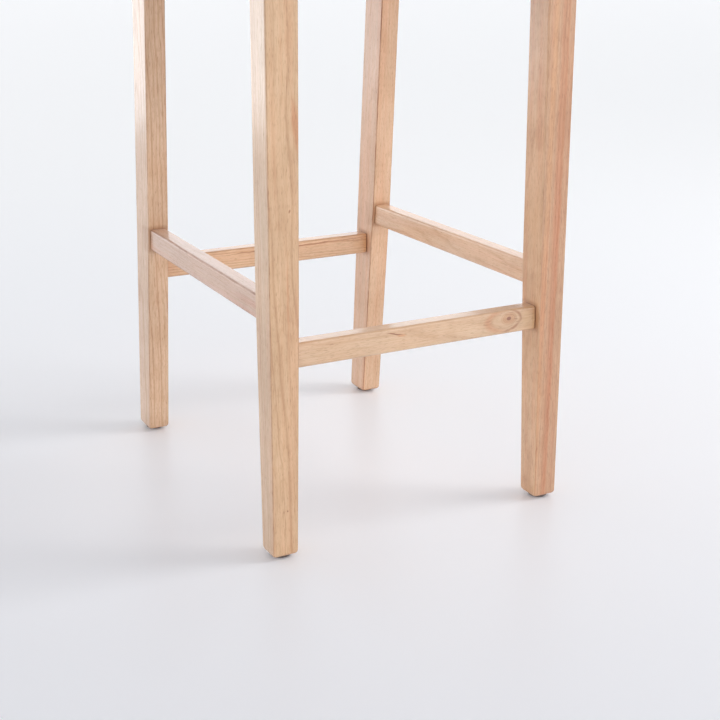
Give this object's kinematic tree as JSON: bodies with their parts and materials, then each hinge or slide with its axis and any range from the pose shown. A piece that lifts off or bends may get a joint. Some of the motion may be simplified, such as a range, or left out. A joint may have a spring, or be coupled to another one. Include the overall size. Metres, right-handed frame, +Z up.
{
  "type": "bar stool with footrest",
  "caption": "Tall wooden stool: tapered legs, raked rear legs, a ring of mortised foot rails, an apron frame and a dished solid wood seat.",
  "frame": {"origin": "on the floor, at the centre of the stool's bounding box", "axes": "+Z up, the front with the lower foot rail faces -Y, +X to the sitter's left when seated facing -Y"},
  "size_m": [0.4238, 0.534, 0.7583],
  "materials": {
    "leg_wood": "light rubberwood under satin lacquer",
    "rail_wood": "light rubberwood under satin lacquer",
    "apron_wood": "light rubberwood under satin lacquer",
    "seat_wood": "edge-glued light rubberwood under satin lacquer",
    "block_wood": "planed rubberwood, unlacquered",
    "screw_zinc": "zinc-plated steel",
    "nail_steel": "bright steel",
    "glide_plastic": "dark grey-brown moulded polyethylene"
  },
  "bodies": {
    "root": {"front_apron": "apron_wood", "front_foot_rail": "rail_wood", "front_left_corner_block": "block_wood", "front_left_cross_screw": "screw_zinc", "front_left_glide": "glide_plastic", "front_left_glide_nail": "nail_steel", "front_left_leg": "leg_wood", "front_left_seat_screw": "screw_zinc", "front_left_side_screw": "screw_zinc", "front_right_corner_block": "block_wood", "front_right_cross_screw": "screw_zinc", "front_right_glide": "glide_plastic", "front_right_glide_nail": "nail_steel", "front_right_leg": "leg_wood", "front_right_seat_screw": "screw_zinc", "front_right_side_screw": "screw_zinc", "left_apron": "apron_wood", "left_foot_rail": "rail_wood", "rear_apron": "apron_wood", "rear_foot_rail": "rail_wood", "rear_left_corner_block": "block_wood", "rear_left_cross_screw": "screw_zinc", "rear_left_glide": "glide_plastic", "rear_left_glide_nail": "nail_steel", "rear_left_leg": "leg_wood", "rear_left_seat_screw": "screw_zinc", "rear_left_side_screw": "screw_zinc", "rear_right_corner_block": "block_wood", "rear_right_cross_screw": "screw_zinc", "rear_right_glide": "glide_plastic", "rear_right_glide_nail": "nail_steel", "rear_right_leg": "leg_wood", "rear_right_seat_screw": "screw_zinc", "rear_right_side_screw": "screw_zinc", "right_apron": "apron_wood", "right_foot_rail": "rail_wood", "seat": "seat_wood"}
  },
  "joints": []
}
